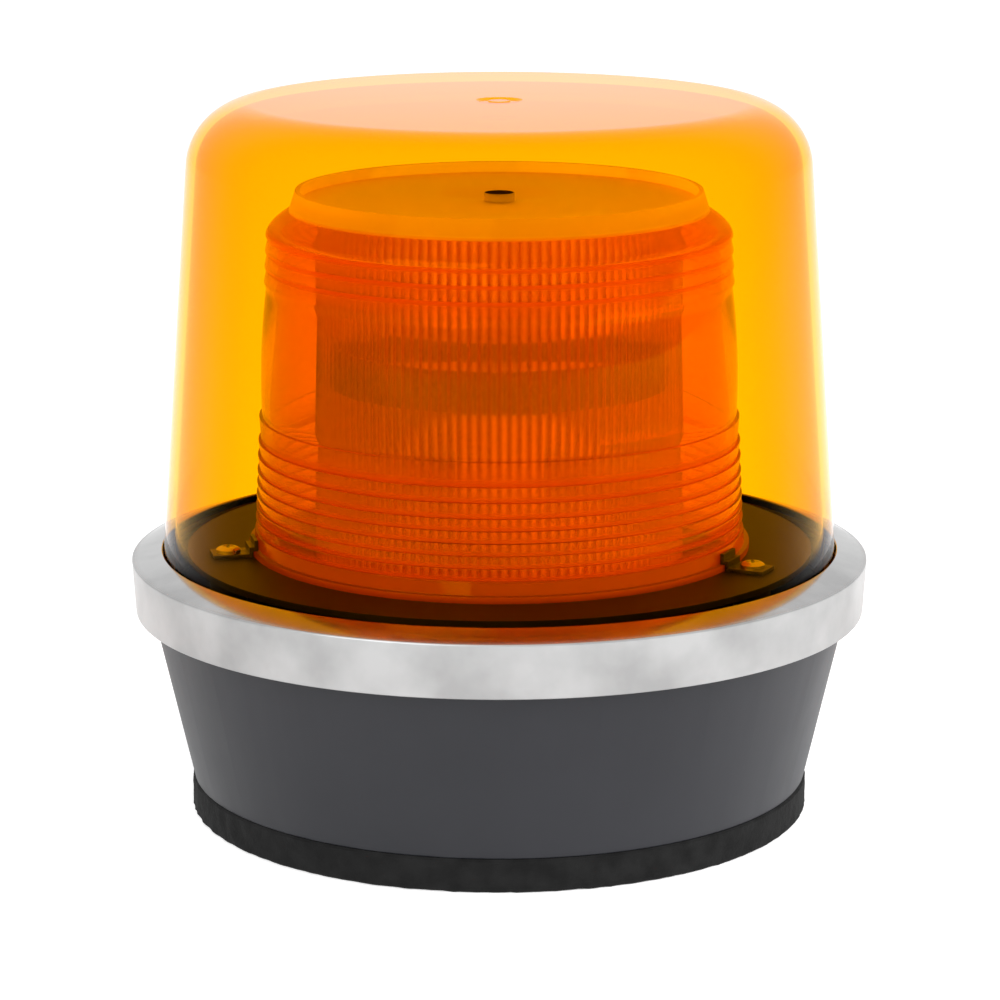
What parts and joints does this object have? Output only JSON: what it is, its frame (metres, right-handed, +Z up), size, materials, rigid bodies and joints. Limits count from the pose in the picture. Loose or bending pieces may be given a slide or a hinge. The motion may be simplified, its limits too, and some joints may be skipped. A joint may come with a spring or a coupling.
{
  "type": "rotating beacon",
  "caption": "Round warning beacon: clear amber dome over a ringed inner lens, clamp ring, tapered dark base on a rubber pad, motor-driven rotating reflector inside.",
  "frame": {"origin": "centre of the underside of the mounting pad", "axes": "+Z up along the axis of the dome and of the reflector's rotation; +X to the right and +Y to the back of the pictured view; the reflector faces +Y at rest"},
  "size_m": [0.22, 0.22, 0.2126],
  "materials": {
    "rubber_pad": "black closed-cell rubber, cut edge",
    "base_housing": "dark grey smooth paint on cast aluminium",
    "clamp_ring": "bare machined aluminium, faint tool marks",
    "ring_lock_screw": "plated steel",
    "dome_gasket": "black moulded rubber",
    "outer_dome": "clear amber polycarbonate, polished",
    "deck_plate": "black satin enamel",
    "lens_clips": "bright zinc-plated spring steel",
    "deck_screws": "bright zinc-plated steel",
    "fresnel_lens": "deep amber polycarbonate with prism rings",
    "diffuser_sleeve": "clear fluted polycarbonate",
    "lamp_post": "zinc-plated steel tube",
    "post_nut": "zinc-plated steel",
    "lamp_socket": "nickel-free brass shell",
    "bulb_base": "brass lamp cap",
    "bulb_glass": "clear glass",
    "bulb_filament": "glass stem and tungsten coil",
    "rotor_hub": "sintered bronze bearing hub",
    "thrust_washer": "natural nylon",
    "retaining_ring": "blued spring steel",
    "drive_gear": "natural acetal gear",
    "reflector_carrier": "black enamelled pressed steel",
    "gear_screws": "zinc-plated steel",
    "reflector": "spun aluminium, mirror polished inside",
    "reflector_screws": "zinc-plated steel",
    "counterweight": "plain cast weight",
    "weight_screw": "zinc-plated steel",
    "motor_can": "zinc-plated drawn can",
    "motor_end_cap": "black moulded plastic",
    "motor_magnets": "sintered ferrite",
    "motor_armature": "laminations and copper winding",
    "motor_shaft": "ground steel",
    "motor_pinion": "cut brass",
    "motor_screws": "zinc-plated steel",
    "terminal_block": "black moulded terminal block",
    "terminal_screws": "brass clamp screws",
    "block_screws": "zinc-plated steel",
    "earth_screw": "green-marked brass screw",
    "lamp_leads": "red insulated lead",
    "motor_leads": "black insulated lead"
  },
  "bodies": {
    "base": {"rubber_pad": "rubber_pad", "base_housing": "base_housing", "clamp_ring": "clamp_ring", "ring_lock_screw": "ring_lock_screw", "dome_gasket": "dome_gasket", "outer_dome": "outer_dome", "deck_plate": "deck_plate", "lens_clips": "lens_clips", "deck_screws": "deck_screws", "fresnel_lens": "fresnel_lens", "diffuser_sleeve": "diffuser_sleeve", "lamp_post": "lamp_post", "post_nut": "post_nut", "lamp_socket": "lamp_socket", "bulb_base": "bulb_base", "bulb_glass": "bulb_glass", "bulb_filament": "bulb_filament", "thrust_washer": "thrust_washer", "retaining_ring": "retaining_ring", "motor_can": "motor_can", "motor_end_cap": "motor_end_cap", "motor_magnets": "motor_magnets", "motor_screws": "motor_screws", "terminal_block": "terminal_block", "terminal_screws": "terminal_screws", "block_screws": "block_screws", "earth_screw": "earth_screw", "lamp_leads": "lamp_leads", "motor_leads": "motor_leads"},
    "rotor": {"rotor_hub": "rotor_hub", "drive_gear": "drive_gear", "reflector_carrier": "reflector_carrier", "gear_screws": "gear_screws", "reflector": "reflector", "reflector_screws": "reflector_screws", "counterweight": "counterweight", "weight_screw": "weight_screw"},
    "pinion": {"motor_shaft": "motor_shaft", "motor_armature": "motor_armature", "motor_pinion": "motor_pinion"}
  },
  "joints": [
    {"name": "rotor_spin", "type": "hinge", "parent": "base", "child": "rotor", "pos_m": [0, 0, 0.09], "axis": [0, 0, 1], "continuous": true},
    {"name": "pinion_spin", "type": "hinge", "parent": "base", "child": "pinion", "pos_m": [0, 0.0336, 0.085], "axis": [0, 0, 1], "continuous": true}
  ],
  "couplings": [
    {"joint": "pinion_spin", "follows": "rotor_spin", "ratio": -5}
  ]
}
